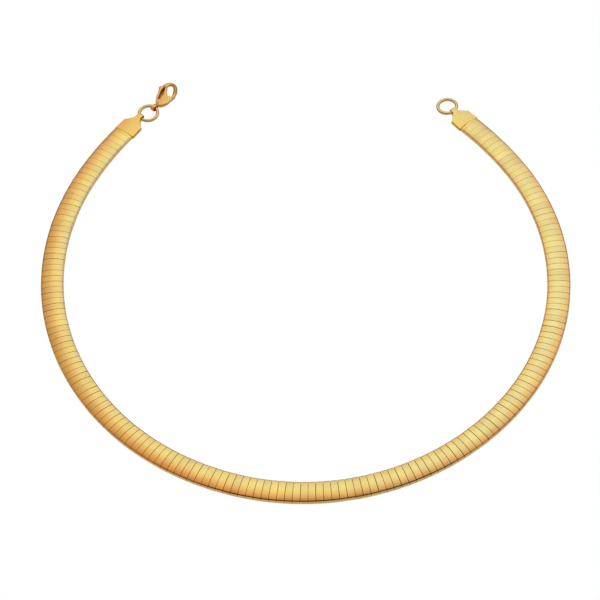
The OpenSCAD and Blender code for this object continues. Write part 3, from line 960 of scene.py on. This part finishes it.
class NECKLACE_OT_rings(bpy.types.Operator):
    """Build the two jump rings."""
    bl_idname = "necklace.rings"
    bl_label = "Jump rings"

    def execute(self, context):
        settings = context.scene.necklace
        material, *_ = gold("ring_gold", settings.ring_gold, settings.deep_gold_and_shade, 0.1, 0.1)
        middle = in_plan(np.array(LEFT_RING), *cap_frame(0))
        left = ring_shell(middle, radians(LEFT_UPHILL), radians(LEFT_TILT))
        origin, heading = cap_frame(1)
        middle = in_plan(np.array(RIGHT_RING), origin, heading)
        right = ring_shell(middle, heading, radians(RIGHT_TILT))
        for name, node, shell in (("clasp_ring", "jump_ring_left", left),
                                  ("catch_ring", "jump_ring_right", right)):
            piece = make_piece(name, [shell], material)
            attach(piece, "necklace")
            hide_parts(node)
        return {"FINISHED"}


class NECKLACE_OT_clasp(bpy.types.Operator):
    """Build the lobster clasp: claw, lever and pin."""
    bl_idname = "necklace.clasp"
    bl_label = "Clasp"

    def execute(self, context):
        settings = context.scene.necklace
        material = clasp_gold(settings)
        rose, *_ = gold("pin_gold", settings.rose_gold, settings.deep_gold_and_shade, 0.2, 0.2)
        shells, tone = clasp_body_shells()
        claw = make_piece("claw", shells, material, crease=60.0, tone=tone)
        shells, tone = lever_shells()
        lever = make_piece("trigger", shells, material, crease=60.0, tone=tone)
        pin = make_piece("pivot_pin", [pin_shell()], rose, crease=60.0)
        for piece, body, node, slot in ((claw, "necklace", "clasp_body", "clasp_gold"),
                                        (lever, "lever", "clasp_lever", "clasp_gold"),
                                        (pin, "necklace", "clasp_pin", "pin_gold")):
            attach(piece, body)
            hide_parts(node)
        return {"FINISHED"}


def floor_material():
    """White card: plain white to the camera and a softer glow to what it lights."""
    material, tree = empty_material("white_card")
    glow = add_node(tree, "ShaderNodeEmission", {"Color": (0.62, 0.56, 0.52, 1)})
    white = add_node(tree, "ShaderNodeEmission", {"Color": (1, 1, 1, 1)})
    mix = add_node(tree, "ShaderNodeMixShader", {
        0: add_node(tree, "ShaderNodeLightPath").outputs["Is Camera Ray"],
        1: glow.outputs["Emission"], 2: white.outputs["Emission"]})
    add_node(tree, "ShaderNodeOutputMaterial", {"Surface": mix.outputs["Shader"]})
    return material


# The tent's glow from front to back, and the tint on it from left to right: place, red, green, blue
TENT_DEPTH = (
    (0.0, 0.95, 0.86, 0.70),
    (0.15, 0.85, 0.70, 0.52),
    (0.28, 0.66, 0.46, 0.32),
    (0.35, 0.63, 0.40, 0.26),
    (0.45, 0.88, 0.64, 0.39),
    (0.55, 0.98, 0.86, 0.61),
    (0.65, 0.98, 0.99, 0.80),
    (0.75, 0.97, 1.055, 0.94),
    (0.85, 0.975, 0.955, 0.75),
    (1.0, 0.885, 0.865, 0.825),
)
TENT_WIDTH = (
    (0.0, 0.90, 0.72, 0.55),
    (0.08, 0.72, 0.52, 0.39),
    (0.15, 0.68, 0.445, 0.28),
    (0.3, 0.93, 0.665, 0.58),
    (0.4, 1.045, 0.915, 0.895),
    (0.5, 1.035, 1.04, 0.975),
    (0.6, 1.005, 1.05, 1.335),
    (0.7, 0.975, 1.01, 1.185),
    (0.85, 1.02, 0.815, 0.875),
    (1.0, 0.90, 0.75, 0.80),
)

# The darkening of the tent's rim, from the floor up, and of the opening for the camera, from its
# edge to its middle
TENT_RIM = (
    (0.0, 0.32, 0.24, 0.15),
    (0.18, 0.34, 0.26, 0.17),
    (0.36, 1.0, 1.0, 1.0),
    (1.0, 1.0, 1.0, 1.0),
)
TENT_OPENING = (
    (0.0, 1.0, 1.0, 1.0),
    (0.12, 0.75, 0.68, 0.60),
    (0.35, 0.14, 0.085, 0.035),
    (1.0, 0.13, 0.075, 0.025),
)


def tent_material(radius):
    """The tent's glow: a ramp from front to back, times one from left to right, times one that
    darkens the rim near the floor, times one for the camera's opening, an ellipse in plan."""
    material, tree = empty_material("light_tent")
    place = object_place(tree)
    opening = add_node(tree, "ShaderNodeMapping", {
        "Vector": place, "Location": (0.0, 2.19, 0.0), "Scale": (1.25 / radius, 3.85 / radius, 0.0)})
    ellipse = add_node(tree, "ShaderNodeTexGradient", {"Vector": opening.outputs["Vector"]},
                       gradient_type="SPHERICAL")
    colour = ramp_of(tree, ellipse.outputs["Fac"], TENT_OPENING)
    axes = axes_of(tree, place)
    for axis, stops, span in (("Y", TENT_DEPTH, 2.0), ("X", TENT_WIDTH, 2.0), ("Z", TENT_RIM, 1.0)):
        share = math_of(tree, "MULTIPLY_ADD", axes[axis], 1.0 / (span * radius), (span - 1.0) / 2)
        colour = mix_of(tree, 1.0, colour, ramp_of(tree, share, stops), "MULTIPLY")
    glow = add_node(tree, "ShaderNodeEmission", {"Color": colour})
    add_node(tree, "ShaderNodeOutputMaterial", {"Surface": glow.outputs["Emission"]})
    return material


class NECKLACE_OT_stage(bpy.types.Operator):
    """Build the white floor, the light tent, the white world and the camera."""
    bl_idname = "necklace.stage"
    bl_label = "Stage"

    def execute(self, context):
        settings = context.scene.necklace
        reach = np.array([-FLOOR_REACH, FLOOR_REACH])
        card = stacked(reach[:, None], reach, -FLOOR_GAP).reshape(-1, 3)
        floor = make_piece("floor", [(card, [grid_faces(2, 2)])], floor_material())

        rows, columns, top = 16, 48, 0.02
        radius = settings.tent_radius
        a = full_turn(columns)[None, :]
        b = np.linspace(top, pi / 2, rows)[:, None]
        dome = stacked(np.sin(b) * np.cos(a), np.sin(b) * np.sin(a), np.cos(b))
        shell = (dome.reshape(-1, 3) * radius / MM, [grid_faces(rows, columns, wrap_cols=True)])
        tent = make_piece("tent", [shell], tent_material(radius))
        tent.visible_camera = False

        world = bpy.data.worlds.new("studio")
        world.use_nodes = True
        world.node_tree.nodes["Background"].inputs["Color"].default_value = (1, 1, 1, 1)
        context.scene.world = world
        context.scene.view_settings.view_transform = "Standard"
        place_camera(context.scene, settings)
        return {"FINISHED"}


def place_camera(scene, settings):
    """A camera that looks along +Y and down at its elevation, turned by its roll about the view."""
    turn = Matrix.Rotation(pi / 2 - settings.camera_elevation, 4, "X")
    turn = turn @ Matrix.Rotation(-settings.camera_roll, 4, "Z")
    at = Vector(CAMERA_TARGET) + turn.to_3x3() @ Vector((0, 0, settings.camera_distance))
    data = bpy.data.cameras.new("photo_camera")
    data.sensor_fit = "HORIZONTAL"
    data.sensor_width = SENSOR_MM
    data.lens = SENSOR_MM * settings.focal_pixels / PICTURE_PIXELS
    data.clip_start = 0.01
    data.clip_end = 20.0
    camera = bpy.data.objects.new("photo_camera", data)
    camera.matrix_world = Matrix.Translation(at) @ turn
    scene.collection.objects.link(camera)
    scene.camera = camera


OPERATORS = (NECKLACE_OT_plates, NECKLACE_OT_weave, NECKLACE_OT_caps, NECKLACE_OT_rings,
             NECKLACE_OT_clasp, NECKLACE_OT_stage)


class NECKLACE_PT_panel(bpy.types.Panel):
    """Lists the necklace's settings and operators."""
    bl_label = "Necklace"
    bl_idname = "NECKLACE_PT_panel"
    bl_space_type = "VIEW_3D"
    bl_region_type = "UI"
    bl_category = "Necklace"

    def draw(self, context):
        settings = context.scene.necklace
        for name in settings.bl_rna.properties.keys():
            if name not in ("rna_type", "name"):
                self.layout.prop(settings, name)
        for operator in OPERATORS:
            self.layout.operator(operator.bl_idname)


CLASSES = (NecklaceSettings, *OPERATORS, NECKLACE_PT_panel)


def register():
    """Make the classes and the scene's settings known."""
    for item in CLASSES:
        bpy.utils.register_class(item)
    bpy.types.Scene.necklace = PointerProperty(type=NecklaceSettings)


def unregister():
    """Take them out again."""
    del bpy.types.Scene.necklace
    for item in reversed(CLASSES):
        bpy.utils.unregister_class(item)


def main():
    """Build everything in order."""
    register()
    bpy.ops.necklace.stage()
    bpy.ops.necklace.plates()
    bpy.ops.necklace.weave()
    bpy.ops.necklace.caps()
    bpy.ops.necklace.rings()
    bpy.ops.necklace.clasp()


if __name__ == "__main__":
    main()
